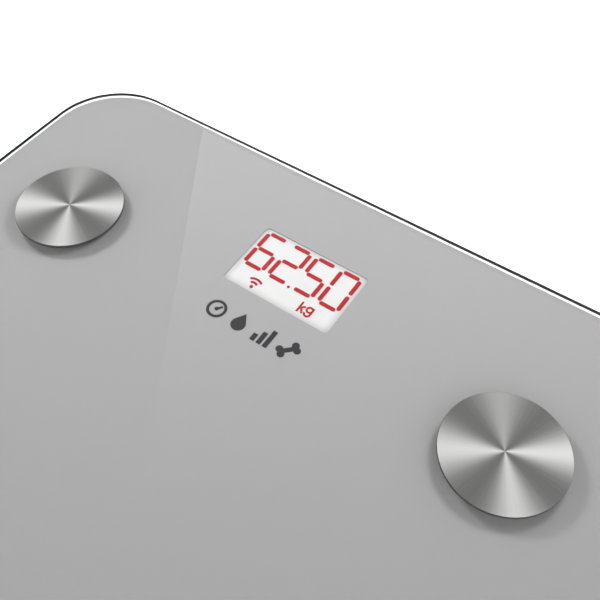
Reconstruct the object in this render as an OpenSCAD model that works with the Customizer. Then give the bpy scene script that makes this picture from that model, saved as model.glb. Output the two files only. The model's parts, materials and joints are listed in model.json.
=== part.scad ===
// Glass-topped digital bathroom scale with body-composition electrodes.
// Millimetres. The origin is on the floor under the middle of the platform,
// +Y points to the display end and +Z is up.

/* [Platform] */
// Side of the square glass platform
glass_w = 300; // [290:1:320]
// Thickness of the glass
glass_t = 5; // [4:0.5:8]
// Radius of the platform's corners
glass_r = 33; // [26:1:40]
// Clear rim between the glass edge and the print
print_inset = 0.6; // [0.2:0.1:4]
// Height of the underside of the print above the floor
print_z = 18.7; // [18.7:0.1:22]

/* [Display] */
// Width of the clear window in the print
window_w = 50; // [44:1:50]
// Depth of the clear window in the print
window_d = 31.6; // [28:0.1:32]
// Offset of the window's middle from the platform's middle, across
window_x = -1.3; // [-2:0.1:2]
// Distance of the window's middle from the platform's middle, along
window_y = 99.6; // [98:0.1:100]
// Height of a digit between the middles of its segments
digit_h = 18.2; // [14:0.1:20]
// Width of a digit between the middles of its segments
digit_w = 8.9; // [7:0.1:9.4]
// Spacing of the four digits
digit_pitch = 12.1; // [11:0.1:12.2]
// Thickness of a segment
segment_w = 1.8; // [1.2:0.1:2]

/* [Electrodes] */
// Diameter of an electrode disc
electrode_d = 46; // [36:0.2:50]
// Height of a disc above the glass, bonding pad included
electrode_h = 2; // [1.6:0.1:3]
// Distance of each disc from the middle, across the platform
electrode_x = 101.6; // [98:0.1:105]
// Distance of each disc from the middle, along the platform
electrode_y = 75; // [70:0.1:75.4]

/* [Base] */
// Side of the moulded tray
tray_w = 264; // [264:1:272]
// Side of the flange that is bonded to the glass
flange_w = 280; // [276:1:286]
// Height of the tray's underside above the floor
tray_z = 5; // [5:0.1:5]
// Thickness of the tray's floor and walls
tray_t = 2; // [1.6:0.1:2]

/* [Feet] */
// Distance of each foot from the middle, across the platform
foot_x = 103; // [100:0.5:103.5]
// Distance of each foot from the middle, along the platform
foot_y = 105; // [104.5:0.5:105.5]
// Diameter of a foot
foot_d = 40; // [38:0.5:42]
// Side of the square load cell
cell_w = 34; // [32:0.5:35]

/* [Battery] */
// Diameter of one cell
battery_d = 10.5; // [10:0.1:10.5]
// Length of one cell with its nub
battery_l = 44.5; // [43:0.1:45]
// Distance of the compartment from the platform's middle
battery_y = 30; // [0:1:40]

/* [Hidden] */

$fn = 96;
eps = 0.01;

// Colours
silver_grey = [0.70, 0.70, 0.69];
steel = [0.78, 0.78, 0.76];
dark_plastic = [0.16, 0.16, 0.17];
mid_plastic = [0.35, 0.36, 0.38];
light_plastic = [0.90, 0.90, 0.88];

// Corner signs: [x, y]
UPPER_LEFT = [-1, 1];
UPPER_RIGHT = [1, 1];
LOWER_LEFT = [-1, -1];
LOWER_RIGHT = [1, -1];
CORNERS = [UPPER_LEFT, UPPER_RIGHT, LOWER_LEFT, LOWER_RIGHT];

// Heights of the stack, from the floor up
print_t = 0.3;
sign_t = 0.1;
glass_z = print_z + print_t;
glass_top = glass_z + glass_t;
tape_t = 1;
flange_top = print_z - tape_t;
flange_t = 2;
tray_floor = tray_z + tray_t;

// Load cells and their holders
cell_z = 11.6;
cell_t = 1.6;
cell_top = cell_z + cell_t;
well_r = 17.5;
holder_w = 44;
holder_r = 4;
pocket_w = cell_w + 0.4;
screw_off = 18.6;

// Leads lie in one plane, just above the ribs and the circuit board
rib_top = cell_top;
rib_t = 1.6;
lead_z = cell_top + 0.1;
lead_t = 1;

// Feet
foot_gap = 1;
foot_top = tray_z - foot_gap;
pad_t = 2;
pad_d = foot_d - 4;
skirt_r = 15.2;
skirt_t = 2;
skirt_top = 9.8;
post_r = 4;
clip_z = tray_floor + 0.5;
clip_t = 1;
clip_depth = 0.8;

// Circuit board
board_t = 1.6;
board_top = cell_top;
board_z = board_top - board_t;
board_x = 52;
board_y0 = 74;
board_y1 = 121;
board_screw_x = 48;
board_screw_ys = [78, 117];

// Display
housing_w = 57;
housing_d = 37;
diffuser_t = 0.5;
segment_t = 0.2;
diffuser_z = print_z - segment_t - diffuser_t;
digit_y = 4.65;

// Unit button
button_x = -38;
button_y = 92;
button_r = 4;
switch_h = 3;

// Battery compartment
cell_pitch = battery_d + 0.4;
bay_x = battery_l / 2 + 4.25;
bay_y = 1.5 * cell_pitch + 0.25;
bay_top = print_z - 1.2;
wall_t = 1.6;
battery_z = tray_z + 1.7 + battery_d / 2;
plate_t = 0.4;
door_t = 1.4;
door_x = bay_x + 2.5;
door_back = battery_y - bay_y - 2.3;
door_front = battery_y + bay_y + 2.3;
hinge_r = 1.3;
hinge_y = door_back + hinge_r;
hinge_z = tray_z + hinge_r;
pin_r = 0.8;
pin_l = 1.6;
scoop_r = 4;

// ---- Shared shapes ----

// Square with round corners, centred
module rounded(w, d, r) {
  union() {
    square([w - 2 * r, d], center = true);
    square([w, d - 2 * r], center = true);
    for (x = [-1, 1], y = [-1, 1])
      translate([x * (w / 2 - r), y * (d / 2 - r)]) circle(r = r);
  }
}

// Plate between two heights
module plate(w, d, r, z0, z1) {
  translate([0, 0, z0]) linear_extrude(z1 - z0) rounded(w, d, r);
}

// Box between two corners
module box(low, high) {
  translate(low) cube(high - low);
}

// Ring about Z between two heights
module ring(r_out, r_in, z0, z1) {
  translate([0, 0, z0]) difference() {
    cylinder(r = r_out, h = z1 - z0);
    translate([0, 0, -1]) cylinder(r = r_in, h = z1 - z0 + 2);
  }
}

// Disc between two heights
module disc(r, z0, z1) {
  translate([0, 0, z0]) cylinder(r = r, h = z1 - z0);
}

// Flat lead through a list of points, with round corners
module ribbon(points, w) {
  for (i = [0 : len(points) - 2]) {
    run = points[i + 1] - points[i];
    translate(points[i]) rotate(atan2(run.y, run.x))
      translate([0, -w / 2]) square([norm(run), w]);
  }
  if (len(points) > 2)
    for (i = [1 : len(points) - 2]) translate(points[i]) circle(d = w, $fn = 32);
}

// Moves its children to a foot, turned so that +X and +Y point outwards
module at_foot(corner) {
  translate([corner.x * foot_x, corner.y * foot_y, 0])
    mirror([corner.x < 0 ? 1 : 0, 0, 0])
    mirror([0, corner.y < 0 ? 1 : 0, 0])
    children();
}

// Moves its children to an electrode
module at_electrode(corner) {
  translate([corner.x * electrode_x, corner.y * electrode_y, 0]) children();
}

// Pan-headed screw, its head's underside at z and its shank below it
module screw(z, head_r, head_h, shank_r, shank_l) {
  difference() {
    union() {
      disc(head_r, z, z + head_h);
      disc(shank_r, z - shank_l, z + eps);
    }
    for (turn = [0, 90]) rotate(turn)
      box([-head_r * 0.62, -head_h * 0.17, z + head_h * 0.45],
          [head_r * 0.62, head_h * 0.17, z + head_h + 1]);
  }
}

// ---- Glass and print ----

stud_hole_r = 4.2;

module glass_platform() {
  color(silver_grey, 0.4) difference() {
    plate(glass_w, glass_w, glass_r, glass_z, glass_top);
    for (c = CORNERS) at_electrode(c) disc(stud_hole_r, glass_z - 1, glass_top + 1);
  }
}

module silver_print() {
  side = glass_w - 2 * print_inset;
  color(silver_grey) difference() {
    plate(side, side, glass_r - print_inset, print_z, glass_z - sign_t);
    translate([window_x, window_y, 0]) plate(window_w, window_d, 1.5, print_z - 1, glass_z + 1);
    for (c = CORNERS) at_electrode(c) disc(stud_hole_r + 0.6, print_z - 1, glass_z + 1);
  }
}

// Signs of what the scale measures, printed between the glass and the silver
module dial_sign() {
  difference() {
    circle(r = 4.2);
    circle(r = 3);
  }
  circle(r = 0.9);
  rotate(-40) translate([-0.5, 0]) square([1, 2.5]);
}

module drop_sign() {
  translate([0, -1.2]) circle(r = 3);
  polygon([[-2.6, 0.3], [2.6, 0.3], [0, 4.4]]);
}

module bars_sign() {
  for (i = [0 : 2]) translate([(i - 1) * 2.9 - 1, -4.2]) square([2, 3.4 + 2.5 * i]);
}

module bone_sign() {
  rotate(45) {
    square([6.4, 2], center = true);
    for (x = [-1, 1], y = [-1, 1]) translate([x * 3.2, y * 1.2]) circle(r = 1.5);
  }
}

module printed_signs() {
  pitch = 11.4;
  color([0.29, 0.29, 0.31]) translate([window_x, 69.7, glass_z - sign_t]) linear_extrude(sign_t) {
    translate([-1.5 * pitch, 0]) dial_sign();
    translate([-0.5 * pitch, 0]) drop_sign();
    translate([0.5 * pitch, 0]) bars_sign();
    translate([1.5 * pitch, 0]) bone_sign();
  }
}

flange_r = glass_r - (glass_w - flange_w) / 2;
tray_r = 16;

module mounting_tape() {
  inner = tray_w - 2 * tray_t;
  color([0.12, 0.12, 0.12]) difference() {
    plate(flange_w - 2, flange_w - 2, flange_r - 1, flange_top, print_z);
    plate(inner + 1, inner + 1, tray_r - tray_t + 0.5, flange_top - 1, print_z + 1);
  }
}

// ---- Electrodes ----

electrode_pad_t = 0.4;
stud_r = 2.5;
washer_t = 0.6;
terminal_t = 0.5;
nut_t = 2.8;
washer_bottom = print_z - washer_t;
terminal_bottom = washer_bottom - terminal_t;
nut_bottom = terminal_bottom - nut_t;

module electrode() {
  r = electrode_d / 2;
  z0 = glass_top + electrode_pad_t;
  top = glass_top + electrode_h;
  color(steel) union() {
    rotate_extrude() union() {
      translate([0, z0]) square([r - 0.5, top - z0]);
      translate([0, z0 + 0.5]) square([r, top - z0 - 1]);
      for (z = [z0 + 0.5, top - 0.5]) translate([r - 0.5, z]) circle(r = 0.5, $fn = 32);
    }
    disc(stud_r, nut_bottom - 1, z0 + eps);
  }
}
module electrode_upper_left() at_electrode(UPPER_LEFT) electrode();
module electrode_upper_right() at_electrode(UPPER_RIGHT) electrode();
module electrode_lower_left() at_electrode(LOWER_LEFT) electrode();
module electrode_lower_right() at_electrode(LOWER_RIGHT) electrode();

module electrode_pads() {
  for (c = CORNERS) at_electrode(c)
    color([0.25, 0.25, 0.26])
    ring(electrode_d / 2 - 1.2, stud_hole_r, glass_top, glass_top + electrode_pad_t);
}

module electrode_washers() {
  for (c = CORNERS) at_electrode(c)
    color([0.85, 0.83, 0.78]) ring(7, stud_r + 0.15, washer_bottom, print_z);
}

// Ring terminal with its crimp barrel pointing inwards
module electrode_terminals() {
  for (c = CORNERS) at_electrode(c) color([0.75, 0.70, 0.55]) difference() {
    union() {
      disc(4.6, terminal_bottom, washer_bottom);
      translate([-c.x * 6.5, 0, 0])
        box([-3.2, -1.4, terminal_bottom], [3.2, 1.4, washer_bottom]);
    }
    disc(stud_r + 0.15, terminal_bottom - 1, washer_bottom + 1);
  }
}

module electrode_nuts() {
  for (c = CORNERS) at_electrode(c) color(steel) difference() {
    translate([0, 0, nut_bottom]) cylinder(d = 9.2, h = nut_t, $fn = 6);
    disc(stud_r + 0.02, nut_bottom - 1, terminal_bottom + 1);
  }
}

// Single leads under the glass, each dropping to the board at its end
electrode_lead_w = 1.4;
module electrode_leads() {
  z1 = washer_bottom - 0.05;
  z0 = z1 - 1;
  start_x = electrode_x - 9.8;
  pad_y = 76.5;
  color([0.20, 0.22, 0.60]) for (s = [-1, 1]) {
    upper = [[s * start_x, electrode_y], [s * 47, electrode_y], [s * 43, pad_y]];
    lower = [[s * start_x, -electrode_y], [s * 62, -electrode_y], [s * 62, 66], [s * 36, 68],
             [s * 36, pad_y]];
    for (path = [upper, lower]) {
      last = path[len(path) - 1];
      translate([0, 0, z0]) linear_extrude(z1 - z0) ribbon(path, electrode_lead_w);
      translate([last.x, last.y, 0]) disc(electrode_lead_w / 2 + 0.2, board_top, z1);
    }
  }
}

// ---- Base tray ----

// Block of the foot well, solid
module well_block() {
  plate(holder_w, holder_w, holder_r, tray_floor - eps, cell_z);
}

// Room inside the foot well and through the tray's floor
module well_room() {
  disc(well_r, tray_floor, cell_z + 1);
  disc(skirt_r + 0.3, tray_z - 1, tray_floor + 1);
}

// Grid of ribs on the tray's floor, before the rooms are cut out of it
module ribs() {
  reach = tray_w / 2 - tray_t / 2;
  for (x = [-foot_x, -66, -22, 22, 66, foot_x])
    box([x - rib_t / 2, -reach, tray_floor - eps], [x + rib_t / 2, reach, rib_top]);
  for (y = [-foot_y, -62, -18, 62, foot_y])
    box([-reach, y - rib_t / 2, tray_floor - eps], [reach, y + rib_t / 2, rib_top]);
}

// Space of the battery compartment, the door's recess and the hinge groove
module battery_room() {
  translate([0, battery_y, 0])
    box([-bay_x, -bay_y, tray_z - 1], [bay_x, bay_y, bay_top]);
  box([-door_x - 0.3, hinge_y, tray_z - 1], [door_x + 0.3, door_front + 0.3, tray_z + door_t + 0.2]);
  translate([-door_x - 0.3, hinge_y, hinge_z]) rotate([0, 90, 0])
    cylinder(r = hinge_r + 0.2, h = 2 * door_x + 0.6);
  box([-door_x - 0.3, hinge_y - hinge_r - 0.2, tray_z - 1],
      [door_x + 0.3, hinge_y, hinge_z]);
  translate([-door_x - pin_l - 0.3, hinge_y, hinge_z]) rotate([0, 90, 0])
    cylinder(r = pin_r + 0.08, h = 2 * (door_x + pin_l + 0.3));
  // Notch that the door's tab springs into, and the finger scoop before it
  box([-8, door_front - 3.4, tray_z - 1], [8, door_front + 0.3, tray_z + 4.2]);
  translate([0, door_front, tray_z]) sphere(r = scoop_r, $fn = 48);
  // Ways out for the contacts' tags
  for (s = [-1, 1]) translate([s * (bay_x + wall_t / 2), battery_y + s * cell_pitch, 0])
    box([-wall_t, -1.5, lead_z], [wall_t, 1.5, lead_z + lead_t]);
}

module base_tray() {
  color(dark_plastic) difference() {
    union() {
      difference() {
        union() {
          plate(tray_w, tray_w, tray_r, tray_z, flange_top);
          plate(flange_w, flange_w, flange_r, flange_top - flange_t, flange_top);
        }
        plate(tray_w - 2 * tray_t, tray_w - 2 * tray_t, tray_r - tray_t, tray_floor, flange_top + 1);
      }
      difference() {
        ribs();
        // Room for the board, and for the holders above the well blocks
        box([-board_x - 2, board_y0 - 4, tray_floor], [board_x + 2, tray_w / 2 - tray_t, rib_top + 1]);
        for (c = CORNERS) at_foot(c)
          plate(holder_w + 0.6, holder_w + 0.6, holder_r, cell_z - eps, rib_top + 1);
      }
      for (c = CORNERS) at_foot(c) well_block();
      // Walls of the battery compartment and the thick frame round its mouth
      translate([0, battery_y, 0]) {
        plate(2 * (bay_x + wall_t), 2 * (bay_y + wall_t), 1, tray_floor - eps, bay_top + 1);
        box([-door_x - 4, -bay_y - 6.5, tray_floor - eps], [door_x + 4, bay_y + 8, tray_floor + 2.6]);
      }
      // Bosses under the board
      for (x = [-1, 1], y = board_screw_ys)
        translate([x * board_screw_x, y, 0]) disc(3, tray_floor - eps, board_z);
      // Guide round the unit button
      translate([button_x, button_y, 0]) disc(7.4, tray_floor - eps, tray_floor + 0.9);
    }
    for (c = CORNERS) at_foot(c) well_room();
    for (c = CORNERS) at_foot(c) for (s = [-1, 1])
      translate([s * screw_off, -s * screw_off, 0]) disc(1, tray_floor + 0.4, cell_z + 1);
    battery_room();
    for (x = [-1, 1], y = board_screw_ys)
      translate([x * board_screw_x, y, 0]) disc(1, tray_floor + 0.4, board_z + 1);
    translate([button_x, button_y, 0]) {
      disc(button_r + 0.25, tray_z - 1, tray_floor + 1);
      disc(5.8, tray_floor, tray_floor + 2);
    }
  }
}

module rating_label() {
  color([0.75, 0.75, 0.74]) translate([0, -40, 0])
    plate(70, 34, 2, tray_z - 0.12, tray_z);
}

// ---- Load cells ----

// Steel plate whose tongue, cut free on three sides, bends under the foot's post
module load_cell() {
  slot = 2;
  tongue = 14;
  color(steel) difference() {
    plate(cell_w, cell_w, 3, cell_z, cell_top);
    for (s = [-1, 1])
      box([s * (tongue + slot) / 2 - slot / 2, -9, cell_z - 1],
          [s * (tongue + slot) / 2 + slot / 2, 11, cell_top + 1]);
    box([-(tongue / 2 + slot), 9, cell_z - 1], [tongue / 2 + slot, 11, cell_top + 1]);
    for (x = [-1, 1], y = [-1, 1])
      translate([x * 13, y * 13, 0]) disc(1.2, cell_z - 1, cell_top + 1);
  }
}
module load_cell_upper_left() at_foot(UPPER_LEFT) load_cell();
module load_cell_upper_right() at_foot(UPPER_RIGHT) load_cell();
module load_cell_lower_left() at_foot(LOWER_LEFT) load_cell();
module load_cell_lower_right() at_foot(LOWER_RIGHT) load_cell();

// Cap that holds the cell down against the foot's push and carries it to the glass
module cell_holder() {
  relief = 30.4;
  relief_top = cell_top + 1.8;
  web_top = relief_top + 1.4;
  color(mid_plastic) difference() {
    plate(holder_w, holder_w, holder_r, cell_z, print_z);
    plate(pocket_w, pocket_w, 3, cell_z - 1, cell_top);
    plate(relief, relief, 3, cell_z - 1, relief_top);
    // Four pockets from above leave a cross of ribs
    for (x = [-1, 1], y = [-1, 1])
      translate([x * 8, y * 8, 0]) plate(13, 13, 2, web_top, print_z + 1);
    // Way out for the lead
    box([-holder_w, -16, cell_top - 1], [-relief / 2 + 1, -9, relief_top]);
    for (s = [-1, 1]) translate([s * screw_off, -s * screw_off, 0]) {
      disc(1.35, cell_z - 1, print_z + 1);
      disc(2.3, print_z - 3.4, print_z + 1);
    }
  }
}
module cell_holder_upper_left() at_foot(UPPER_LEFT) cell_holder();
module cell_holder_upper_right() at_foot(UPPER_RIGHT) cell_holder();
module cell_holder_lower_left() at_foot(LOWER_LEFT) cell_holder();
module cell_holder_lower_right() at_foot(LOWER_RIGHT) cell_holder();

gauge_t = 0.7;
gauge_y = -12.4;
module strain_gauges() {
  for (c = CORNERS) at_foot(c) color([0.92, 0.92, 0.90])
    translate([0, gauge_y, 0]) plate(9, 4.6, 1.5, cell_top, cell_top + gauge_t);
}

module holder_screws() {
  for (c = CORNERS) at_foot(c) for (s = [-1, 1])
    color(steel) translate([s * screw_off, -s * screw_off, 0])
    screw(print_z - 3.4, 2.1, 1.5, 0.98, 6.6);
}

// Three-wire leads from the gauges to the board
cell_lead_w = 4.2;
connector_x = 45;
module cell_leads() {
  start_x = foot_x - 4.5;
  top_y = foot_y + gauge_y;
  end_x = connector_x + 1.6;
  color([0.85, 0.85, 0.83]) translate([0, 0, lead_z]) linear_extrude(lead_t)
    for (s = [-1, 1]) {
      ribbon([[s * start_x, top_y], [s * end_x, top_y]], cell_lead_w);
      ribbon([[s * start_x, -top_y], [s * 72, -top_y], [s * 72, top_y - 8], [s * end_x, top_y - 8]],
             cell_lead_w);
    }
}

// ---- Feet ----

module foot() {
  color(mid_plastic) difference() {
    union() {
      // Cup that holds the rubber pad
      disc(foot_d / 2, 1.2, foot_top);
      // Skirt that slides in the tray, and the post that presses on the cell
      ring(skirt_r, skirt_r - skirt_t, foot_top - eps, skirt_top);
      disc(post_r, foot_top - eps, cell_z);
      for (turn = [0, 90]) rotate(turn)
        box([-skirt_r + 1, -0.8, foot_top - eps], [skirt_r - 1, 0.8, foot_top + 3]);
    }
    disc(pad_d / 2 + 0.1, 0, pad_t);
    // Groove for the clip
    ring(skirt_r + 2, skirt_r - clip_depth, clip_z - 0.05, clip_z + clip_t + 0.05);
  }
}
module foot_upper_left() at_foot(UPPER_LEFT) foot();
module foot_upper_right() at_foot(UPPER_RIGHT) foot();
module foot_lower_left() at_foot(LOWER_LEFT) foot();
module foot_lower_right() at_foot(LOWER_RIGHT) foot();

module foot_pad() {
  color([0.13, 0.13, 0.13]) difference() {
    disc(pad_d / 2, 0, pad_t);
    for (r = [7, 11.5]) ring(r + 0.8, r - 0.8, -1, 0.6);
  }
}
module foot_pad_upper_left() at_foot(UPPER_LEFT) foot_pad();
module foot_pad_upper_right() at_foot(UPPER_RIGHT) foot_pad();
module foot_pad_lower_left() at_foot(LOWER_LEFT) foot_pad();
module foot_pad_lower_right() at_foot(LOWER_RIGHT) foot_pad();

// Open spring ring that sits in the skirt's groove
module foot_clip() {
  color(steel) difference() {
    ring(well_r - 0.7, skirt_r - clip_depth + 0.1, clip_z, clip_z + clip_t);
    box([-2.5, -20, clip_z - 1], [2.5, 0, clip_z + clip_t + 1]);
  }
}
module foot_clip_upper_left() at_foot(UPPER_LEFT) foot_clip();
module foot_clip_upper_right() at_foot(UPPER_RIGHT) foot_clip();
module foot_clip_lower_left() at_foot(LOWER_LEFT) foot_clip();
module foot_clip_lower_right() at_foot(LOWER_RIGHT) foot_clip();

// ---- Circuit board ----

module circuit_board() {
  color([0.05, 0.30, 0.16]) difference() {
    box([-board_x, board_y0, board_z], [board_x, board_y1, board_top]);
    for (x = [-1, 1], y = board_screw_ys)
      translate([x * board_screw_x, y, 0]) disc(1.5, board_z - 1, board_top + 1);
  }
}

module board_screws() {
  for (x = [-1, 1], y = board_screw_ys) color(steel)
    translate([x * board_screw_x, y, 0]) screw(board_top, 2.4, 1.6, 0.98, 5.4);
}

// Chip body with two rows of legs
module controller_chip() {
  color([0.08, 0.08, 0.09]) translate([-38, 112, 0]) {
    box([-5, -3.5, board_top + 0.2], [5, 3.5, board_top + 1.8]);
    for (x = [-4 : 1.3 : 4])
      box([x - 0.2, -4.9, board_top], [x + 0.2, 4.9, board_top + 0.3]);
  }
}

module wireless_module() {
  color(steel) translate([38, 112, 0]) {
    box([-7, -4, board_top], [7, 4, board_top + 0.8]);
    plate(10, 7, 0.6, board_top + 0.8 - eps, board_top + 2.4);
  }
}

module capacitors() {
  for (at = [[-33.5, 84], [33.5, 84], [33.5, 91]]) color([0.12, 0.16, 0.30])
    translate(at) disc(2.5, board_top, board_top + 4.4);
}

// Side-entry housings that the cell leads plug into
module cell_connectors() {
  for (s = [-1, 1], y = [foot_y + gauge_y, foot_y + gauge_y - 8])
    color(light_plastic) translate([s * connector_x, y, 0]) difference() {
      box([-3.5, -3.6, board_top], [3.5, 3.6, board_top + 3.6]);
      translate([s * 3.5, 0, 0])
        box([-2, -cell_lead_w / 2 - 0.3, board_top + 0.05], [2, cell_lead_w / 2 + 0.3, lead_z + 1.4]);
    }
}

battery_connector_y = board_y0 + 2.4;
module battery_connector() {
  color(light_plastic) translate([0, battery_connector_y, 0]) difference() {
    box([-5, -2.4, board_top], [5, 2.2, board_top + 3.6]);
    for (s = [-1, 1]) translate([s * 2.2, 0, 0])
      box([-1, -4, board_top + 0.05], [1, 0.6, lead_z + 1.2]);
  }
}

// ---- Display ----

module display_housing() {
  rim = 1.6;
  color(light_plastic) translate([window_x, window_y, 0]) difference() {
    plate(housing_w, housing_d, 1, board_top, diffuser_z + diffuser_t);
    plate(housing_w - 2 * rim, housing_d - 2 * rim, 1, diffuser_z, print_z);
    // Light chamber under the diffuser
    plate(housing_w - 4 * rim, housing_d - 4 * rim, 1, board_top + 1.2, print_z);
  }
}

module display_diffuser() {
  rim = 1.7;
  color("white") translate([window_x, window_y, 0])
    plate(housing_w - 2 * rim, housing_d - 2 * rim, 1, diffuser_z, diffuser_z + diffuser_t);
}

// Segments of each figure: top, top right, bottom right, bottom, bottom left, top left, middle
FIGURES = [
  [1, 0, 1, 1, 1, 1, 1],
  [1, 1, 0, 1, 1, 0, 1],
  [1, 0, 1, 1, 0, 1, 1],
  [1, 1, 1, 1, 1, 1, 0]
];

// One bar with blunt round ends, centred
module segment(length, w) {
  rounded(length, w, 0.42 * w, $fn = 32);
}

module figure(lit) {
  across = digit_w - segment_w + 0.2;
  along = digit_h / 2 - 1.1;
  places = [[0, 1, 0], [1, 0.5, 90], [1, -0.5, 90], [0, -1, 0], [-1, -0.5, 90], [-1, 0.5, 90],
            [0, 0, 0]];
  for (i = [0 : 6]) if (lit[i])
    translate([places[i].x * digit_w / 2, places[i].y * digit_h / 2]) rotate(places[i].z)
    segment(places[i].z == 0 ? across : along, segment_w);
}

// Bent bar about the origin, open towards -Y
module arc_bar(r, w, half_angle) {
  fan = [for (i = [-2 : 2]) 9 * [sin(i * half_angle / 2), cos(i * half_angle / 2)]];
  intersection() {
    difference() {
      circle(r = r + w / 2);
      circle(r = r - w / 2);
    }
    polygon(concat([[0, 0]], fan));
  }
}

// Letters of the unit, drawn from bars and arcs
module unit_letters() {
  stroke = 0.8;
  translate([-3.1, -2.6]) square([stroke, 5.3]);
  translate([-2.6, -0.5]) rotate(41) translate([0, -stroke / 2]) square([2.6, stroke]);
  translate([-2, 0.1]) rotate(-58) translate([0, -stroke / 2]) square([2.9, stroke]);
  translate([1.55, 0.7]) {
    difference() {
      circle(r = 1.65);
      circle(r = 1.65 - stroke);
    }
    translate([1.65 - stroke, -2]) square([stroke, 3.5]);
    translate([0, -2]) rotate(180) arc_bar(1.65 - stroke / 2, stroke, 90);
  }
}

module display_segments() {
  color([0.85, 0.08, 0.12]) translate([window_x, window_y, diffuser_z + diffuser_t])
    linear_extrude(segment_t) {
      for (i = [0 : 3]) translate([(i - 1.5) * digit_pitch, digit_y]) figure(FIGURES[i]);
      translate([0, digit_y - digit_h / 2 - 0.7]) circle(d = 1.2);
      // Wireless sign: a dot under two arcs
      translate([-12.5, -13.4]) {
        circle(r = 0.75);
        for (r = [2.3, 4.2]) arc_bar(r, 0.95, 40);
      }
      translate([12, -10.6]) unit_letters();
    }
}

// ---- Unit button ----

button_flange_top = tray_floor + 0.9;
plunger_z = board_z - switch_h - 0.6;

module unit_switch() {
  color([0.10, 0.10, 0.11]) translate([button_x, button_y, 0]) difference() {
    plate(6, 6, 0.4, board_z - switch_h, board_z);
    disc(1.8, board_z - switch_h - 1, board_z - 0.6);
  }
}

module switch_plunger() {
  color(light_plastic) translate([button_x, button_y, 0]) disc(1.7, plunger_z, board_z - 1.4);
}

module unit_button() {
  color([0.55, 0.56, 0.58]) translate([button_x, button_y, 0]) difference() {
    union() {
      disc(button_r, tray_z - 0.4, button_flange_top);
      disc(5.4, tray_floor + 0.1, button_flange_top);
      disc(1.2, button_flange_top - eps, plunger_z);
    }
    disc(2.6, tray_z - 1, tray_z - 0.15);
  }
}

// ---- Batteries ----

module battery_door() {
  color(dark_plastic) difference() {
    union() {
      box([-door_x, hinge_y, tray_z], [door_x, door_front, tray_z + door_t]);
      translate([0, hinge_y, hinge_z]) rotate([0, 90, 0]) {
        cylinder(r = hinge_r, h = 2 * door_x, center = true);
        cylinder(r = pin_r, h = 2 * (door_x + pin_l), center = true);
      }
      // Latch tab
      box([-6, door_front - 2.6, tray_z + eps], [6, door_front - 1.4, tray_z + 3.6]);
    }
    // Finger recess and grip grooves
    translate([0, door_front, tray_z]) sphere(r = scoop_r, $fn = 48);
    for (i = [0 : 4])
      box([-12, door_front - 8 - 2.4 * i, tray_z - 1], [12, door_front - 7 - 2.4 * i, tray_z + 0.4]);
  }
}

// Cell along X with its nub towards +X
module battery() {
  nub = 0.8;
  translate([-battery_l / 2, 0, battery_z]) rotate([0, 90, 0]) {
    cylinder(d = battery_d, h = battery_l - nub);
    cylinder(d = 3.8, h = battery_l);
  }
}

// The outer two face one way and the middle one the other, for cells in series
battery_shift = bay_x - plate_t - battery_l / 2;
module battery_at(i) {
  side = i == 0 ? -1 : 1;
  translate([side * battery_shift, battery_y + i * cell_pitch, 0])
    mirror([side < 0 ? 1 : 0, 0, 0]) battery();
}
module battery_lower() color([0.20, 0.45, 0.40]) battery_at(-1);
module battery_middle() color([0.20, 0.45, 0.40]) battery_at(0);
module battery_upper() color([0.20, 0.45, 0.40]) battery_at(1);

module battery_contacts() {
  h0 = battery_z - 4.2;
  h1 = battery_z + 4.2;
  // [side, first row, last row]
  for (c = [[-1, -1, -1], [-1, 0, 1], [1, -1, 0], [1, 1, 1]]) color(steel)
    translate([c.x * (bay_x - plate_t / 2), battery_y, 0]) union() {
      box([-plate_t / 2, c.y * cell_pitch - 4.2, h0], [plate_t / 2, c.z * cell_pitch + 4.2, h1]);
      // Tag of a plate that has one cell
      if (c.y == c.z) translate([c.x * (wall_t + plate_t) / 2, c.y * cell_pitch, lead_z + 0.3])
        cube([wall_t + plate_t, 2.4, 0.4], center = true);
    }
}

// One wire coil along X from 0 to length, as a swept hexagon
module coil(length, r0, r1, wire, turns) {
  steps = 12 * turns;
  sides = 6;
  function at(i) = let (t = i / steps, a = 360 * turns * t, r = r0 + (r1 - r0) * t)
    [wire + (length - 2 * wire) * t, r * cos(a), r * sin(a)];
  function rim(i, k) = let (a = 360 * turns * i / steps, b = 360 * k / sides)
    at(i) + wire * [sin(b), cos(b) * cos(a), cos(b) * sin(a)];
  points = [for (i = [0 : steps], k = [0 : sides - 1]) rim(i, k)];
  walls = [for (i = [0 : steps - 1], k = [0 : sides - 1]) let (n = (k + 1) % sides)
    [i * sides + k, i * sides + n, (i + 1) * sides + n, (i + 1) * sides + k]];
  first = [for (k = [sides - 1 : -1 : 0]) k];
  last = [for (k = [0 : sides - 1]) steps * sides + k];
  polyhedron(points, concat([first], walls, [last]), convexity = 8);
}

module battery_springs() {
  span = 2 * bay_x - 2 * plate_t - battery_l;
  for (i = [-1, 0, 1]) {
    side = i == 0 ? 1 : -1;
    color(steel) translate([side * (bay_x - plate_t), battery_y + i * cell_pitch, battery_z])
      mirror([side > 0 ? 1 : 0, 0, 0]) coil(span, 3.6, 1.9, 0.3, 4);
  }
}

// Leads from the compartment's tags to the board
module battery_lead(side, colour) {
  tag_y = battery_y + side * cell_pitch;
  color(colour) translate([0, 0, lead_z]) linear_extrude(lead_t)
    ribbon([[side * (bay_x + wall_t + 0.2), tag_y], [side * (door_x + 5), tag_y],
            [side * (door_x + 5), 60], [side * 2.2, 68], [side * 2.2, battery_connector_y]], 1.5);
}
module battery_lead_red() battery_lead(1, [0.75, 0.10, 0.10]);
module battery_lead_black() battery_lead(-1, [0.08, 0.08, 0.08]);

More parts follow.
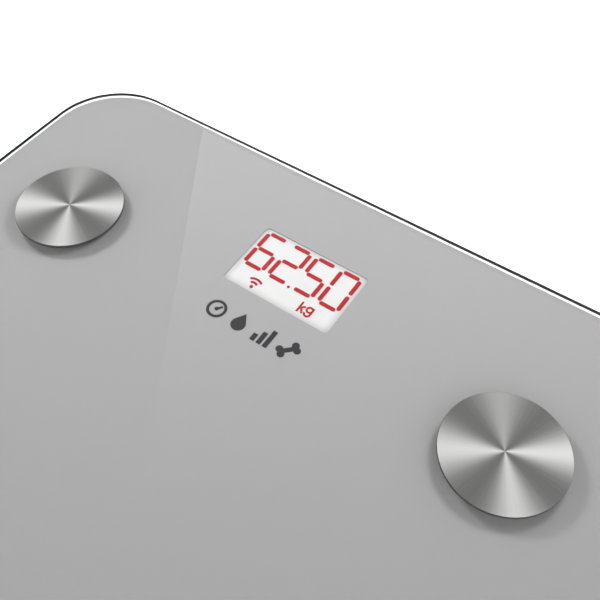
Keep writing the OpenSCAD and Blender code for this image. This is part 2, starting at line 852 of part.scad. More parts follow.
glass_platform();
printed_signs();
silver_print();
mounting_tape();
electrode_upper_left();
electrode_upper_right();
electrode_lower_left();
electrode_lower_right();
electrode_pads();
electrode_washers();
electrode_terminals();
electrode_nuts();
electrode_leads();
base_tray();
rating_label();
load_cell_upper_left();
load_cell_upper_right();
load_cell_lower_left();
load_cell_lower_right();
cell_holder_upper_left();
cell_holder_upper_right();
cell_holder_lower_left();
cell_holder_lower_right();
foot_upper_left();
foot_upper_right();
foot_lower_left();
foot_lower_right();
foot_pad_upper_left();
foot_pad_upper_right();
foot_pad_lower_left();
foot_pad_lower_right();
foot_clip_upper_left();
foot_clip_upper_right();
foot_clip_lower_left();
foot_clip_lower_right();
strain_gauges();
holder_screws();
cell_leads();
circuit_board();
board_screws();
controller_chip();
wireless_module();
capacitors();
cell_connectors();
battery_connector();
display_housing();
display_diffuser();
display_segments();
unit_switch();
switch_plunger();
unit_button();
battery_door();
battery_lower();
battery_middle();
battery_upper();
battery_contacts();
battery_springs();
battery_lead_red();
battery_lead_black();
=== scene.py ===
import json
import math

import bmesh
import bpy
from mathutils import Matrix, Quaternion, Vector
from mathutils.geometry import tessellate_polygon


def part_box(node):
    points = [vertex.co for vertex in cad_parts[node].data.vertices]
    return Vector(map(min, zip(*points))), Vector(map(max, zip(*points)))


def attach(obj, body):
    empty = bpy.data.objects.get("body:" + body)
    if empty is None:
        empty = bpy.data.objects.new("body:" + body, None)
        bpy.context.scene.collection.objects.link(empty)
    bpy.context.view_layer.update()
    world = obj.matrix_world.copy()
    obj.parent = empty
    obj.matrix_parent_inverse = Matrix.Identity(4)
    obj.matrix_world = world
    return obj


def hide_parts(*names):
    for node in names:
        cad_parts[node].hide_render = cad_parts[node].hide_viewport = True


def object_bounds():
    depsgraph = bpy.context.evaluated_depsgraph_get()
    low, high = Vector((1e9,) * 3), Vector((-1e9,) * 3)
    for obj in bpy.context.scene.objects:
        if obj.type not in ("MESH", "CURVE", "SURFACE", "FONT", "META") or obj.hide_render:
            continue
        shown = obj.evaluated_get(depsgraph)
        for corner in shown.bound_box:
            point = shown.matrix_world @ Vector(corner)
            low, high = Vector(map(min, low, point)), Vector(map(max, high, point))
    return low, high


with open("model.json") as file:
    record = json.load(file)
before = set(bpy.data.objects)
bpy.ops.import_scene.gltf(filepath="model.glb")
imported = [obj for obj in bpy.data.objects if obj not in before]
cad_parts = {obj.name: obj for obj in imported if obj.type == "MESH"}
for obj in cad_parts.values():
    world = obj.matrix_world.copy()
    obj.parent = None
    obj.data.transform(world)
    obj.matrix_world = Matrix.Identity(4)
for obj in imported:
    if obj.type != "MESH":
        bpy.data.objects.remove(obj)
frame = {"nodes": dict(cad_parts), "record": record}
cad_low, cad_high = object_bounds()
record = frame["record"]
nodes = frame["nodes"]

MM = 0.001
CORNERS = ("upper_left", "upper_right", "lower_left", "lower_right")

# ---- Node trees ----


def scaled(colour, factor):
    """A colour made lighter or darker."""
    return tuple(min(1, c * factor) for c in colour)


class Tree:
    """A material's node tree, with short calls for the nodes used here."""

    def __init__(self, name):
        self.material = bpy.data.materials.new(name)
        self.material.use_nodes = True
        self.nodes = self.material.node_tree.nodes
        self.links = self.material.node_tree.links
        self.nodes.clear()
        self.output = self.add("ShaderNodeOutputMaterial")

    def add(self, kind, **settings):
        node = self.nodes.new(kind)
        for key, value in settings.items():
            setattr(node, key, value)
        return node

    def put(self, socket, value):
        """Links an output to a socket, or sets the socket's own value."""
        if isinstance(value, bpy.types.NodeSocket):
            self.links.new(value, socket)
        else:
            socket.default_value = value

    def principled(self, colour, roughness, **others):
        node = self.add("ShaderNodeBsdfPrincipled")
        self.put(node.inputs["Base Color"], colour if not isinstance(colour, tuple) else (*colour, 1))
        self.put(node.inputs["Roughness"], roughness)
        for key, value in others.items():
            self.put(node.inputs[key.replace("_", " ")], value)
        return node

    def see_through(self, shader, factor, tint):
        """Mixes a shader with plain transparency."""
        clear = self.add("ShaderNodeBsdfTransparent")
        clear.inputs["Color"].default_value = (*tint, 1)
        mix = self.add("ShaderNodeMixShader")
        for socket, value in zip(mix.inputs, (factor, shader.outputs[0], clear.outputs[0])):
            self.links.new(value, socket)
        return mix.outputs[0]

    def lamp_ray(self):
        """1 on the rays that carry the lamps' light to a surface, else 0."""
        path = self.add("ShaderNodeLightPath")
        return self.math("MAXIMUM", path.outputs["Is Shadow Ray"], path.outputs["Is Diffuse Ray"])

    def finish(self, shader):
        self.links.new(shader, self.output.inputs["Surface"])
        return self.material

    def place(self, scale=(1, 1, 1)):
        """Object coordinates, stretched by scale."""
        coords = self.add("ShaderNodeTexCoord").outputs["Object"]
        mapping = self.add("ShaderNodeMapping")
        mapping.inputs["Scale"].default_value = scale
        self.links.new(coords, mapping.inputs["Vector"])
        return mapping.outputs["Vector"]

    def noise(self, size, detail=2.0, rough=0.5, scale=(1, 1, 1), vector=None):
        """Noise of about this feature size in metres, from 0 to 1."""
        node = self.add("ShaderNodeTexNoise")
        self.put(node.inputs["Vector"], vector or self.place(scale))
        node.inputs["Scale"].default_value = 1 / size
        node.inputs["Detail"].default_value = detail
        node.inputs["Roughness"].default_value = rough
        return node.outputs["Fac"]

    def spread(self, value, low, high, source=(0.3, 0.7)):
        """Maps a 0 to 1 pattern to a range."""
        node = self.add("ShaderNodeMapRange")
        self.put(node.inputs["Value"], value)
        node.inputs["From Min"].default_value, node.inputs["From Max"].default_value = source
        node.inputs["To Min"].default_value, node.inputs["To Max"].default_value = low, high
        return node.outputs["Result"]

    def math(self, operation, a, b=0.0):
        node = self.add("ShaderNodeMath", operation=operation)
        self.put(node.inputs[0], a)
        self.put(node.inputs[1], b)
        return node.outputs[0]

    def mix(self, factor, a, b):
        """Mixes two colours."""
        node = self.add("ShaderNodeMix", data_type="RGBA")
        self.put(node.inputs["Factor"], factor)
        for socket, value in ((node.inputs[6], a), (node.inputs[7], b)):
            self.put(socket, (*value, 1) if isinstance(value, tuple) else value)
        return node.outputs[2]

    def bump(self, height, distance):
        node = self.add("ShaderNodeBump")
        self.put(node.inputs["Height"], height)
        node.inputs["Distance"].default_value = distance
        return node.outputs["Normal"]


def moulded(name, colour, roughness, grain=0.35 * MM, depth=0.03 * MM, drift=0.08):
    """Moulded plastic or rubber: a fine spark texture, with cloudy changes of tone and gloss."""
    tree = Tree(name)
    cloud = tree.noise(14 * MM, detail=3)
    tone = tree.mix(cloud, scaled(colour, 1 - drift), scaled(colour, 1 + drift))
    texture = tree.noise(grain, detail=2, rough=0.6)
    gloss = tree.spread(texture, roughness - 0.07, roughness + 0.07)
    shader = tree.principled(tone, gloss, Normal=tree.bump(texture, depth))
    return tree.finish(shader.outputs[0])


def plain_metal(name, colour, roughness, grain=0.12 * MM, stretch=(1, 12, 1)):
    """Sheet metal with fine rolled lines."""
    tree = Tree(name)
    lines = tree.noise(grain, detail=3, scale=stretch)
    tone = tree.mix(lines, scaled(colour, 0.9), colour)
    gloss = tree.spread(lines, roughness - 0.08, roughness + 0.1)
    shader = tree.principled(tone, gloss, Metallic=1.0, Normal=tree.bump(lines, 0.01 * MM))
    return tree.finish(shader.outputs[0])


# ---- Materials ----

PRINT_COLOUR = (0.262, 0.2585, 0.261)


def silver_print_material():
    """Silver-grey ink under the glass: a fine metallic grain and a faint drift of tone."""
    tree = Tree("silver_print")
    grain = tree.noise(0.22 * MM, detail=2, rough=0.7)
    cloud = tree.noise(60 * MM, detail=2)
    speck = tree.mix(grain, scaled(PRINT_COLOUR, 0.93), scaled(PRINT_COLOUR, 1.07))
    tone = tree.mix(cloud, scaled(PRINT_COLOUR, 0.985), PRINT_COLOUR)
    shader = tree.principled(tree.mix(0.5, speck, tone), tree.spread(grain, 0.42, 0.55))
    return tree.finish(shader.outputs[0])


def glass_material():
    """Clear safety glass that lets lamps through to what lies under it."""
    tree = Tree("platform_glass")
    smear = tree.noise(35 * MM, detail=4)
    shader = tree.principled(
        (0.98, 0.983, 0.981), tree.spread(smear, 0.0, 0.012), IOR=1.52, Transmission_Weight=1.0
    )
    return tree.finish(tree.see_through(shader, tree.lamp_ray(), (0.96, 0.963, 0.961)))


def ground_edge_painted_shade_material():
    """Ground glass edge with painted shade: near black, so it shows dark against the light that comes
    through the plate.
    """
    tree = Tree("ground_edge_painted_shade")
    grain = tree.noise(0.15 * MM, detail=2, rough=0.7)
    # Painted shade: a near-black tone
    tone = tree.mix(grain, (0.022, 0.023, 0.023), (0.04, 0.042, 0.041))
    shader = tree.principled(
        tone, tree.spread(grain, 0.7, 0.85), Normal=tree.bump(grain, 0.01 * MM), Specular_IOR_Level=0.05
    )
    return tree.finish(tree.see_through(shader, tree.lamp_ray(), (0.9, 0.9, 0.9)))


def disc_side_painted_shade_material():
    """Side of a disc, painted dark as shade for its dark mirror image and the shadow at its foot, with
    lines that run round it.
    """
    tree = Tree("disc_side_painted_shade")
    lines = tree.noise(0.1 * MM, detail=2, scale=(0.02, 0.02, 1))
    # Painted shade: the side's colour is near black
    tone = tree.mix(lines, (0.06, 0.06, 0.06), (0.11, 0.11, 0.11))
    shader = tree.principled(tone, tree.spread(lines, 0.35, 0.5), Metallic=0.7)
    return tree.finish(shader.outputs[0])


# Painted sheen of the turned discs, bright bands in place of the lamps' reflections: direction in
# degrees, tightness, tone above the dark between
PAINTED_SHEEN_BANDS = ((32, 17.5, 0.57), (120, 12.0, 0.265), (211, 12.5, 0.545), (304, 16.0, 0.51))
TONE_BETWEEN_SHEEN_BANDS = 0.15


def spun_steel_material():
    """Steel faced on a lathe: rings too fine to see, and a painted sheen of bright bands that fan out
    from the middle.
    """
    tree = Tree("spun_steel")
    coords = tree.add("ShaderNodeTexCoord").outputs["Object"]
    flat = tree.add("ShaderNodeVectorMath", operation="MULTIPLY")
    tree.links.new(coords, flat.inputs[0])
    flat.inputs[1].default_value = (1, 1, 0)
    outward = tree.add("ShaderNodeVectorMath", operation="NORMALIZE")
    tree.links.new(flat.outputs[0], outward.inputs[0])
    radius = tree.add("ShaderNodeVectorMath", operation="LENGTH")
    tree.links.new(flat.outputs[0], radius.inputs[0])
    # Rings: noise along the radius alone
    rings_at = tree.add("ShaderNodeCombineXYZ")
    tree.put(rings_at.inputs[0], radius.outputs["Value"])
    rings = tree.noise(0.12 * MM, detail=2, rough=0.7, vector=rings_at.outputs[0])
    # Faint spokes, a painted streaky sheen: noise round the axis alone
    spokes = tree.noise(0.05, detail=4, rough=0.6, vector=outward.outputs[0])
    tone = tree.spread(spokes, TONE_BETWEEN_SHEEN_BANDS * 0.92, TONE_BETWEEN_SHEEN_BANDS * 1.08)
    # Painted sheen: each bright band is added to the steel's colour
    for degrees, tightness, height in PAINTED_SHEEN_BANDS:
        a = math.radians(degrees)
        along = tree.add("ShaderNodeVectorMath", operation="DOT_PRODUCT")
        tree.links.new(outward.outputs[0], along.inputs[0])
        along.inputs[1].default_value = (math.cos(a), math.sin(a), 0)
        power = tree.math("MULTIPLY", tree.math("SUBTRACT", along.outputs["Value"], 1.0), tightness)
        sheen_band = tree.math("MULTIPLY", tree.math("EXPONENT", power), height)
        tone = tree.math("ADD", tone, sheen_band)
    tone = tree.math("MULTIPLY", tone, tree.spread(rings, 0.96, 1.04))
    colour = tree.add("ShaderNodeCombineColor")
    tree.put(colour.inputs[0], tone)
    tree.put(colour.inputs[1], tone)
    tree.put(colour.inputs[2], tree.math("MULTIPLY", tone, 0.99))
    # The rings run round the axis, so that is the tangent
    tangent = tree.add("ShaderNodeVectorMath", operation="CROSS_PRODUCT")
    tangent.inputs[0].default_value = (0, 0, 1)
    tree.links.new(outward.outputs[0], tangent.inputs[1])
    shader = tree.principled(
        colour.outputs[0], tree.spread(rings, 0.40, 0.48), Metallic=0.65, Anisotropic=0.6,
        Tangent=tangent.outputs[0]
    )
    return tree.finish(shader.outputs[0])


def segment_material(colour, light, strength):
    """Red plastic that is lit from inside."""
    tree = Tree("red_segment")
    cloud = tree.noise(6 * MM, detail=2)
    tone = tree.mix(cloud, scaled(colour, 0.97), colour)
    shader = tree.principled(
        tone, tree.spread(cloud, 0.35, 0.45), Emission_Color=(*light, 1), Emission_Strength=strength
    )
    return tree.finish(shader.outputs[0])


WINDOW = (50 * MM, 31.6 * MM)  # clear opening in the print
WINDOW_SHADE_FADE = 3.5 * MM  # how far in from the opening's edge the painted shade dims the light
# level of colour and glow at the opening's edge, under the painted shade
WINDOW_EDGE_SHADE_LEVEL = 0.78
WINDOW_COLOUR = (0.485, 0.477, 0.479)


def diffuser_material():
    """Milky lit sheet, with painted shade that dims its colour and glow towards the edges of the
    window, where the housing's walls would shade it.
    """
    tree = Tree("lit_diffuser")
    low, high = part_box("display_diffuser")
    split = tree.add("ShaderNodeSeparateXYZ")
    tree.links.new(tree.add("ShaderNodeTexCoord").outputs["Generated"], split.inputs[0])
    level = 1.0
    # Painted shade: colour and glow fall off near each edge of the window
    for axis in (0, 1):
        size = high[axis] - low[axis]
        off = tree.math("ABSOLUTE", tree.math("SUBTRACT", split.outputs[axis], 0.5))
        room = tree.math("SUBTRACT", WINDOW[axis] / 2 / size, off)
        fade = tree.spread(room, WINDOW_EDGE_SHADE_LEVEL, 1.0, (0, WINDOW_SHADE_FADE / size))
        fade.node.interpolation_type = "SMOOTHSTEP"
        level = tree.math("MULTIPLY", level, fade)
    level = tree.math("MULTIPLY", level, tree.spread(tree.noise(6 * MM), 0.98, 1.0))
    colour = tree.add("ShaderNodeCombineColor")
    for socket, value in zip(colour.inputs, WINDOW_COLOUR):
        tree.put(socket, tree.math("MULTIPLY", level, value))
    shader = tree.principled(
        colour.outputs[0], 0.4, Emission_Color=colour.outputs[0], Emission_Strength=0.13
    )
    return tree.finish(shader.outputs[0])


TRACKS_PER_METRE = 260


def board_material():
    """Green solder mask with the faint relief of the tracks under it."""
    tree = Tree("circuit_board")
    tracks = tree.add("ShaderNodeTexBrick")
    tree.links.new(tree.place(), tracks.inputs["Vector"])
    tracks.inputs["Scale"].default_value = TRACKS_PER_METRE
    tracks.inputs["Color1"].default_value = (0.012, 0.11, 0.045, 1)
    tracks.inputs["Color2"].default_value = (0.016, 0.14, 0.06, 1)
    tracks.inputs["Mortar"].default_value = (0.03, 0.2, 0.09, 1)
    shader = tree.principled(tracks.outputs["Color"], 0.35)
    tree.put(shader.inputs["Normal"], tree.bump(tracks.outputs["Fac"], 0.05 * MM))
    return tree.finish(shader.outputs[0])


SLEEVE_HALF = 0.475  # how far the sleeve reaches from a cell's middle, in cell lengths


def battery_material():
    """Plain printed sleeve between bare metal ends."""
    tree = Tree("battery_can")
    split = tree.add("ShaderNodeSeparateXYZ")
    tree.links.new(tree.add("ShaderNodeTexCoord").outputs["Generated"], split.inputs[0])
    from_middle = tree.math("ABSOLUTE", tree.math("SUBTRACT", split.outputs["X"], 0.5))
    bare = tree.math("GREATER_THAN", from_middle, SLEEVE_HALF)
    sleeve = tree.noise(9 * MM, detail=2)
    print_tone = tree.mix(sleeve, (0.03, 0.20, 0.16), (0.05, 0.27, 0.21))
    tone = tree.mix(bare, print_tone, (0.62, 0.61, 0.60))
    metal = tree.spread(bare, 0.35, 1.0, (0, 1))
    shader = tree.principled(tone, tree.spread(sleeve, 0.25, 0.35), Metallic=metal)
    return tree.finish(shader.outputs[0])


MATERIALS = {
    "glass": glass_material(),
    "silver_print": silver_print_material(),
    "sign_ink": moulded("sign_ink", (0.018, 0.018, 0.02), 0.5, grain=0.3 * MM, depth=0.002 * MM),
    "foam_tape": moulded("foam_tape", (0.03, 0.03, 0.03), 0.9, grain=0.6 * MM, depth=0.08 * MM),
    "steel": plain_metal("sheet_steel", (0.62, 0.61, 0.60), 0.32),
    "tinned_copper": plain_metal("tinned_copper", (0.72, 0.66, 0.52), 0.3),
    "white_plastic": moulded("white_plastic", (0.80, 0.80, 0.77), 0.5),
    "diffuser": diffuser_material(),
    "red_segment": segment_material((0.19, 0.001, 0.003), (1.0, 0.002, 0.014), 0.2),
    "base_plastic": moulded("base_plastic", (0.05, 0.05, 0.053), 0.55),
    "grey_plastic": moulded("grey_plastic", (0.15, 0.155, 0.16), 0.5),
    "rubber": moulded("rubber", (0.035, 0.035, 0.035), 0.82, grain=0.5 * MM),
    "label": moulded("blank_label", (0.42, 0.42, 0.41), 0.35, depth=0.005 * MM),
    "board": board_material(),
    "black_plastic": moulded("black_plastic", (0.02, 0.02, 0.021), 0.45),
    "capacitor_sleeve": moulded("capacitor_sleeve", (0.02, 0.04, 0.14), 0.3, depth=0.005 * MM),
    "lead_white": moulded("lead_white", (0.70, 0.70, 0.68), 0.5),
    "lead_blue": moulded("lead_blue", (0.04, 0.05, 0.38), 0.5),
    "lead_red": moulded("lead_red", (0.50, 0.02, 0.02), 0.5),
    "lead_black": moulded("lead_black", (0.02, 0.02, 0.02), 0.5),
    "battery_can": battery_material(),
}
# The glass's ground edge, painted near black as shade
GROUND_EDGE_PAINTED_SHADE = ground_edge_painted_shade_material()
SLOT_OF = {part["node"]: part["material_slot"] for part in record["subparts"]}
for name, node in nodes.items():
    node.data.materials.clear()
    node.data.materials.append(MATERIALS[SLOT_OF[name]])

# ---- Mesh helpers ----

LEVEL = 0.9999  # upright part of a face's normal, above which the face is shaded flat
SHARP_ANGLE = 35  # degrees between two faces, above which their edge is sharp


def new_piece(name, verts, faces, body, material, second=None):
    """Makes an object that rides on a body, smooth but for its sharp edges."""
    mesh = bpy.data.meshes.new(name)
    mesh.from_pydata(verts, [], faces)
    mesh.validate()
    bm = bmesh.new()
    bm.from_mesh(mesh)
    bmesh.ops.remove_doubles(bm, verts=bm.verts, dist=1e-7)
    bmesh.ops.recalc_face_normals(bm, faces=bm.faces)
    bm.to_mesh(mesh)
    bm.free()
    mesh.shade_smooth()
    mesh.set_sharp_from_angle(angle=math.radians(SHARP_ANGLE))
    for face in mesh.polygons:
        face.use_smooth = abs(face.normal.z) < LEVEL
    mesh.materials.append(material)
    if second:
        # A second material for the faces that a test picks out
        mesh.materials.append(second[0])
        for face in mesh.polygons:
            face.material_index = int(second[1](face))
    piece = bpy.data.objects.new(name, mesh)
    bpy.context.scene.collection.objects.link(piece)
    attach(piece, body)
    return piece


def rounded_outline(half, radius, steps):
    """Points round a square with round corners, anticlockwise from +X."""
    points = []
    flat = half - radius
    for turn, (sx, sy) in enumerate(((1, 1), (-1, 1), (-1, -1), (1, -1))):
        for i in range(steps + 1):
            a = math.radians(90 * turn + 90 * i / steps)
            points.append((sx * flat + radius * math.cos(a), sy * flat + radius * math.sin(a)))
    return points


def circle_outline(centre, radius, steps):
    return [
        (centre[0] + radius * math.cos(2 * math.pi * i / steps),
         centre[1] + radius * math.sin(2 * math.pi * i / steps))
        for i in range(steps)
    ]


def loft(rings):
    """Faces between rings of equal length, given as lists of 3-D points."""
    verts = [p for ring in rings for p in ring]
    n = len(rings[0])
    faces = [
        (r * n + i, r * n + (i + 1) % n, (r + 1) * n + (i + 1) % n, (r + 1) * n + i)
        for r in range(len(rings) - 1)
        for i in range(n)
    ]
    return verts, faces


def cap(verts, faces, outlines, z):
    """Adds a flat face at z, its first outline round it and the others cut out of it."""
    start = len(verts)
    flat = [Vector((x, y, z)) for outline in outlines for x, y in outline]
    verts += [tuple(p) for p in flat]
    loops = [[Vector((x, y, 0)) for x, y in outline] for outline in outlines]
    faces += [tuple(start + i for i in tri) for tri in tessellate_polygon(loops)]


# ---- Glass platform ----

GLASS_RADIUS = 33 * MM
GLASS_LIFT = 0.03 * MM  # keeps the glass off the print's own surface
STUD_HOLE_RADIUS = 4.2 * MM
EDGE_STEPS = 40
HOLE_STEPS = 48
ARRIS = 0.4 * MM  # rounding of the upper edge
BEVEL = 1.1 * MM  # flat that is ground off the lower edge
GROUND_DEPTH = 3.0 * MM  # how far down the glass's side is ground and painted dark as shade


def edge_profile(bottom, top):
    """Insets and heights up the glass's edge, bevelled below and rounded at the top."""
    steps = 5
    rows = [(BEVEL, bottom), (0, bottom + BEVEL), (0, top - GROUND_DEPTH)]
    for i in range(steps + 1):
        a = math.radians(90 * i / steps)
        rows.append((ARRIS * (1 - math.cos(a)), top - ARRIS * (1 - math.sin(a))))
    return rows


def make_glass():
    low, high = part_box("glass_platform")
    half = (high.x - low.x) / 2
    holes = []
    for corner in CORNERS:
        a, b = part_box("electrode_" + corner)
        holes.append(circle_outline(((a.x + b.x) / 2, (a.y + b.y) / 2), STUD_HOLE_RADIUS, HOLE_STEPS))
    rows = edge_profile(low.z + GLASS_LIFT, high.z)
    rings = []
    for inset, z in rows:
        outline = rounded_outline(half - inset, GLASS_RADIUS - inset, EDGE_STEPS)
        rings.append([(x, y, z) for x, y in outline])
    verts, faces = loft(rings)
    for z, ring in ((rows[0][1], rings[0]), (rows[-1][1], rings[-1])):
        cap(verts, faces, [[(x, y) for x, y, _ in ring], *holes], z)
    for hole in holes:
        start = len(verts)
        ring_verts, ring_faces = loft([[(x, y, z) for x, y in hole] for z in (rows[0][1], rows[-1][1])])
        verts += ring_verts
        faces += [tuple(start + i for i in face) for face in ring_faces]

    def ground(face):
        """The upper part of the outer side, but not the top or the walls of the holes: the faces that
        get the painted shade.
        """
        outer = max(abs(face.center.x), abs(face.center.y)) > half - GLASS_RADIUS / 2
        return outer and face.center.z > high.z - GROUND_DEPTH and face.normal.z < LEVEL

    piece = new_piece(
        "platform_glass", verts, faces, "base", MATERIALS["glass"], second=(GROUND_EDGE_PAINTED_SHADE, ground)
    )
    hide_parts("glass_platform")


make_glass()

# ---- Electrodes ----

SPUN_STEEL = spun_steel_material()
# The discs' sides get painted shade, a near-black steel
DISC_SIDE_PAINTED_SHADE = disc_side_painted_shade_material()
SIDE_SLOPE = 0.8  # upright part of a face's normal, below which it belongs to the disc's side, which gets the painted shade
DISC_STEPS = 192
CROWN = 0.12 * MM  # how much higher the middle of a disc is than its rim
CROWN_STEPS = 12
RIM = 0.25 * MM  # radius of the rolled rim
RIM_STEPS = 6
UNDER_RIM_STEPS = 4
AXIS = 0.0001 * MM  # radius of a ring that stands for a point
STUD_RADIUS = 2.5 * MM
STUD_CHAMFER = 0.3 * MM
STUD_STEPS = 32


def disc_profile(radius, bottom, top):
    """Radius and height along a disc: crowned top, rolled rim, flat underside."""
    rows = [(AXIS, top)]
    for i in range(1, CROWN_STEPS + 1):
        r = (radius - RIM) * i / CROWN_STEPS
        rows.append((r, top - CROWN * (r / radius) ** 2))
    edge = rows[-1][1]
    for i in range(1, RIM_STEPS + 1):
        a = math.radians(90 * i / RIM_STEPS)
        rows.append((radius - RIM + RIM * math.sin(a), edge - RIM * (1 - math.cos(a))))
    rows.append((radius, bottom + RIM))
    for i in range(1, UNDER_RIM_STEPS + 1):
        a = math.radians(90 * i / UNDER_RIM_STEPS)
        rows.append((radius - RIM * (1 - math.cos(a)), bottom + RIM * (1 - math.sin(a))))
    rows.append((AXIS, bottom))
    return rows


def make_electrode(corner):
    node = "electrode_" + corner
    low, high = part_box(node)
    pad_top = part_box("electrode_pads")[1].z
    centre = (low + high) / 2
    radius = (high.x - low.x) / 2
    rings = [
        [(x, y, z) for x, y in circle_outline((0, 0), r, DISC_STEPS)]
        for r, z in disc_profile(radius, pad_top, high.z)
    ]
    verts, faces = loft(rings)
    start = len(verts)
    stud_profile = (
        (AXIS, low.z),
        (STUD_RADIUS - STUD_CHAMFER, low.z),
        (STUD_RADIUS, low.z + STUD_CHAMFER),
        (STUD_RADIUS, pad_top),
        (AXIS, pad_top),
    )
    stud = [[(x, y, z) for x, y in circle_outline((0, 0), r, STUD_STEPS)] for r, z in stud_profile]
    stud_verts, stud_faces = loft(stud)
    verts += stud_verts
    faces += [tuple(start + i for i in face) for face in stud_faces]
    # The disc's side faces get the painted shade
    side = (DISC_SIDE_PAINTED_SHADE, lambda face: face.normal.z < SIDE_SLOPE)
    piece = new_piece("spun_" + node, verts, faces, "base", SPUN_STEEL, second=side)
    piece.location = (centre.x, centre.y, 0)
    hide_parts(node)


for corner in CORNERS:
    make_electrode(corner)

# ---- Floor, lights and camera ----

FLOOR_SIDE = 6.0
FLOOR_DROP = 0.02 * MM  # keeps the floor off the feet

# A dark card hangs where the glass would mirror the surround into the view
CARD_AZIMUTH, CARD_ELEVATION = 215, 58
CARD_INNER, CARD_OUTER = 30, 50  # degrees from its middle
CARD_LEVEL, SKY_LEVEL = 0.06, 1.3

# Name, azimuth and elevation in degrees, distance, width and height in metres, power in watts, and
# whether polished parts mirror the lamp (yes, if it isn't said)
LAMPS = (
    ("softbox_key", 35, 62, 1.3, 0.8, 0.8, 1),
    ("softbox_back_left", 262, 50, 0.5, 0.12, 0.12, 1.95, False),
    ("softbox_back_right", 153, 59.4, 0.445, 0.12, 0.12, 1.4, False),
    ("softbox_under", 35, -80, 1.1, 1.5, 1.5, 16),
)

# Lamp overhead: one end of its straight edge in metres, that edge's heading in degrees, its width and
# length, how far it runs past that end, its radiance, and where along it the light fades in
BOX_EDGE = Vector((-1.056, 1.159, 1.224))
BOX_HEADING = 31.9
BOX_WIDTH = 1.5
BOX_LENGTH = 1.9
BOX_BEYOND = 0.7
BOX_RADIANCE = 0.45
BOX_FADE = (0.0, 0.6)

# Camera: direction, distance and roll, with the point it looks at as steps from the glass's back edge
VIEW_AZIMUTH = 34.57
VIEW_ELEVATION = 53.89
VIEW_DISTANCE = 0.2979
VIEW_ROLL = -0.38
LENS = 45.67
VIEW_ACROSS = 7.6 * MM
VIEW_IN_FROM_BACK = 60.3 * MM


def toward(azimuth, elevation):
    """Unit vector to a direction; azimuth 0 lies along -Y and 90 along +X."""
    a, e = math.radians(azimuth), math.radians(elevation)
    return Vector((math.sin(a) * math.cos(e), -math.cos(a) * math.cos(e), math.sin(e)))


def floor_material():
    """Matte white sweep that neither hides the underside from below nor keeps the lamp there off it."""
    tree = Tree("studio_floor")
    cloud = tree.noise(0.4, detail=2)
    shader = tree.principled(tree.mix(cloud, (0.95, 0.95, 0.95), (0.97, 0.97, 0.97)), 0.7)
    side = tree.add("ShaderNodeNewGeometry")
    path = tree.add("ShaderNodeLightPath")
    open_to = tree.math("MAXIMUM", side.outputs["Backfacing"], path.outputs["Is Shadow Ray"])
    return tree.finish(tree.see_through(shader, open_to, (1, 1, 1)))


def make_floor():
    half = FLOOR_SIDE / 2
    square = [(-half, -half, 0), (half, -half, 0), (half, half, 0), (-half, half, 0)]
    mesh = bpy.data.meshes.new("floor")
    mesh.from_pydata(square, [], [(0, 1, 2, 3)])
    mesh.materials.append(floor_material())
    floor = bpy.data.objects.new("floor", mesh)
    floor.location.z = cad_low.z - FLOOR_DROP
    bpy.context.scene.collection.objects.link(floor)


def ceiling_box():
    """Wide lamp overhead whose straight edge shows in the glass, fading out along its length."""
    lamp = bpy.data.lights.new("softbox_ceiling", "AREA")
    lamp.shape = "RECTANGLE"
    lamp.size, lamp.size_y = BOX_WIDTH, BOX_LENGTH
    lamp.energy = BOX_RADIANCE * math.pi * BOX_WIDTH * BOX_LENGTH
    lamp.use_nodes = True
    tree = lamp.node_tree
    where = tree.nodes.new("ShaderNodeNewGeometry")
    split = tree.nodes.new("ShaderNodeSeparateXYZ")
    fade = tree.nodes.new("ShaderNodeMapRange")
    fade.interpolation_type = "SMOOTHSTEP"
    fade.inputs["From Min"].default_value, fade.inputs["From Max"].default_value = BOX_FADE
    tree.links.new(where.outputs["Parametric"], split.inputs[0])
    tree.links.new(split.outputs["Y"], fade.inputs["Value"])
    tree.links.new(fade.outputs["Result"], tree.nodes["Emission"].inputs["Strength"])
    heading = math.radians(BOX_HEADING)
    along = Vector((math.sin(heading), -math.cos(heading), 0))
    across = Vector((math.cos(heading), math.sin(heading), 0))
    box = bpy.data.objects.new("softbox_ceiling", lamp)
    box.location = BOX_EDGE + across * (BOX_WIDTH / 2) + along * (BOX_LENGTH / 2 - BOX_BEYOND)
    box.rotation_euler = (0, 0, heading)
    box.visible_camera = False
    bpy.context.scene.collection.objects.link(box)


def softbox(aim, name, azimuth, elevation, distance, width, height, power, mirrored=True):
    """Rectangular lamp in a direction from the object."""
    lamp = bpy.data.lights.new(name, "AREA")
    lamp.shape = "RECTANGLE"
    lamp.size, lamp.size_y = width, height
    lamp.energy = power
    back = toward(azimuth, elevation)
    box = bpy.data.objects.new(name, lamp)
    box.location = aim + back * distance
    box.rotation_mode = "QUATERNION"
    box.rotation_quaternion = back.to_track_quat("Z", "Y")
    box.visible_camera = False
    box.visible_glossy = mirrored
    box.visible_transmission = mirrored
    bpy.context.scene.collection.objects.link(box)


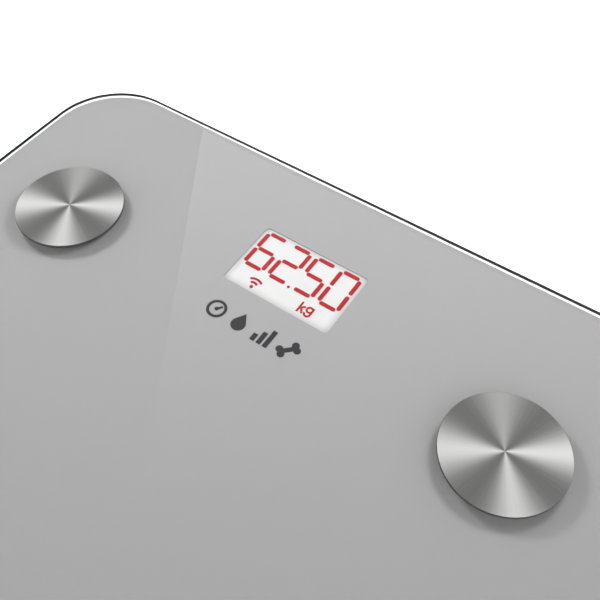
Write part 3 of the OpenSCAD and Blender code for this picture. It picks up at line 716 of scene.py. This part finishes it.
def make_world():
    """Pale studio surround with a soft-edged dark card overhead."""
    world = bpy.data.worlds.new("studio")
    world.use_nodes = True
    tree = world.node_tree
    coords = tree.nodes.new("ShaderNodeTexCoord")
    along = tree.nodes.new("ShaderNodeVectorMath")
    along.operation = "DOT_PRODUCT"
    along.inputs[1].default_value = toward(CARD_AZIMUTH, CARD_ELEVATION)
    level = tree.nodes.new("ShaderNodeMapRange")
    level.interpolation_type = "SMOOTHSTEP"
    level.inputs["From Min"].default_value = math.cos(math.radians(CARD_OUTER))
    level.inputs["From Max"].default_value = math.cos(math.radians(CARD_INNER))
    level.inputs["To Min"].default_value, level.inputs["To Max"].default_value = SKY_LEVEL, CARD_LEVEL
    # Seen directly, the surround is white all over
    path = tree.nodes.new("ShaderNodeLightPath")
    seen = tree.nodes.new("ShaderNodeMix")
    seen.inputs["B"].default_value = SKY_LEVEL
    background = tree.nodes["Background"]
    background.inputs["Color"].default_value = (1, 1, 1, 1)
    tree.links.new(coords.outputs["Generated"], along.inputs[0])
    tree.links.new(along.outputs["Value"], level.inputs["Value"])
    tree.links.new(path.outputs["Is Camera Ray"], seen.inputs["Factor"])
    tree.links.new(level.outputs["Result"], seen.inputs["A"])
    tree.links.new(seen.outputs["Result"], background.inputs["Strength"])
    bpy.context.scene.world = world


def make_camera():
    """Close, high three-quarter view over the display; gives the point it looks at."""
    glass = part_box("glass_platform")
    aim = Vector((VIEW_ACROSS, glass[1].y - VIEW_IN_FROM_BACK, glass[1].z))
    back = toward(VIEW_AZIMUTH, VIEW_ELEVATION)
    data = bpy.data.cameras.new("camera")
    data.lens = LENS
    data.sensor_width = 36.0
    data.clip_start, data.clip_end = 0.01, 20.0
    camera = bpy.data.objects.new("camera", data)
    camera.location = aim + back * VIEW_DISTANCE
    camera.rotation_mode = "QUATERNION"
    roll = Quaternion(back, math.radians(VIEW_ROLL))
    camera.rotation_quaternion = roll @ back.to_track_quat("Z", "Y")
    bpy.context.scene.collection.objects.link(camera)
    bpy.context.scene.camera = camera
    return aim


make_floor()
make_world()
aim = make_camera()
for lamp in LAMPS:
    softbox(aim, *lamp)
ceiling_box()
bpy.context.scene.view_settings.view_transform = "Standard"
